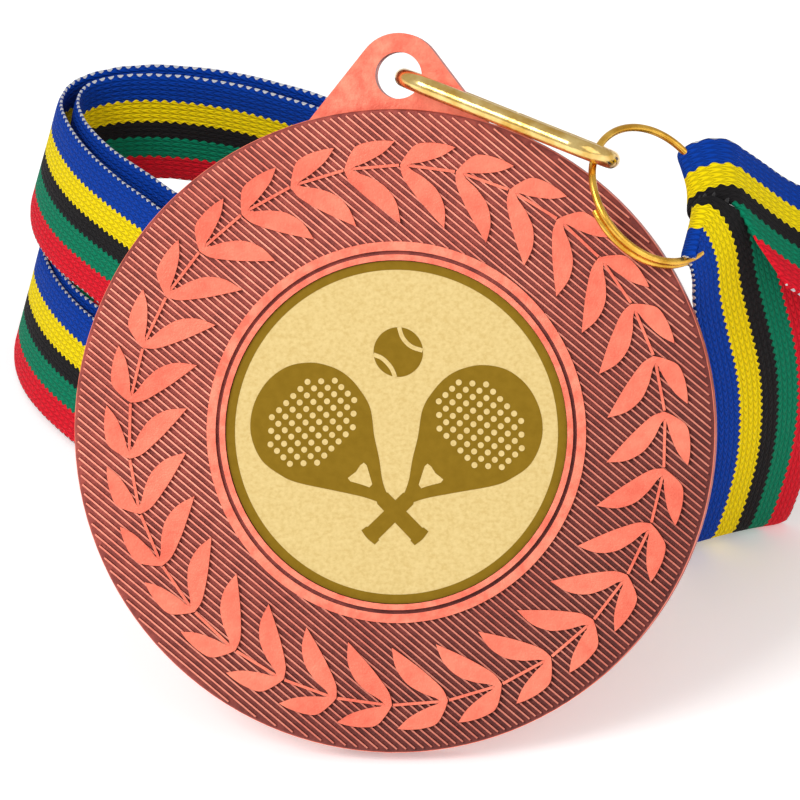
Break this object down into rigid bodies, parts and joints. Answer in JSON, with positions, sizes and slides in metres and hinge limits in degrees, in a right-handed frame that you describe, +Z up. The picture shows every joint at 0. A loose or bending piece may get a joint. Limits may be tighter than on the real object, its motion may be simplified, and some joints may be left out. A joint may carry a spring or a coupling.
{
  "type": "sports finisher medal",
  "caption": "Round cast medal with a printed centre plate, hung from its top tab by an oval link and a split ring on a coiled flat neck ribbon.",
  "frame": {"origin": "on the floor, under the middle of the box round the medal, its link and its ring", "axes": "+Z up from the floor, +Y from the medal's front towards its back and the coiled ribbon, +X to the right seen from the front"},
  "size_m": [0.088, 0.0847, 0.0506],
  "materials": {
    "copper_cast": "antiqued copper plating on a zinc casting, satin",
    "insert_print": "brushed pale gold plate with an olive gold print",
    "adhesive": "thin adhesive film",
    "gold_link": "polished gold plating",
    "gold_ring": "polished gold plating",
    "ribbon": "woven, blue, yellow, black, green and red stripes with white edges",
    "thread": "black sewing thread"
  },
  "bodies": {
    "ribbon": {"ribbon_fold": "ribbon", "ribbon_upper_strand": "ribbon", "ribbon_lower_strand": "ribbon", "ribbon_coil": "ribbon", "joint_stitching": "thread"},
    "ring": {"split_ring": "gold_ring"},
    "link": {"oval_link": "gold_link"},
    "medal": {"medal_body": "copper_cast", "centre_insert": "insert_print", "insert_adhesive": "adhesive"}
  },
  "joints": [
    {"name": "ring_swing", "type": "hinge", "parent": "ribbon", "child": "ring", "pos_m": [0.02375, 0.00865, 0.03717], "axis": [-0.0155, 0.8416, 0.5399], "range_deg": [0, 90]},
    {"name": "link_swing", "type": "hinge", "parent": "ring", "child": "link", "pos_m": [0.01556, 0.00628, 0.0432], "axis": [-0.216, -0.9047, -0.3672], "range_deg": [-32, 0]},
    {"name": "medal_swing", "type": "hinge", "parent": "link", "child": "medal", "pos_m": [0, 0.01137, 0.04726], "axis": [0, -0.891, 0.454], "range_deg": [-160, 0]}
  ]
}
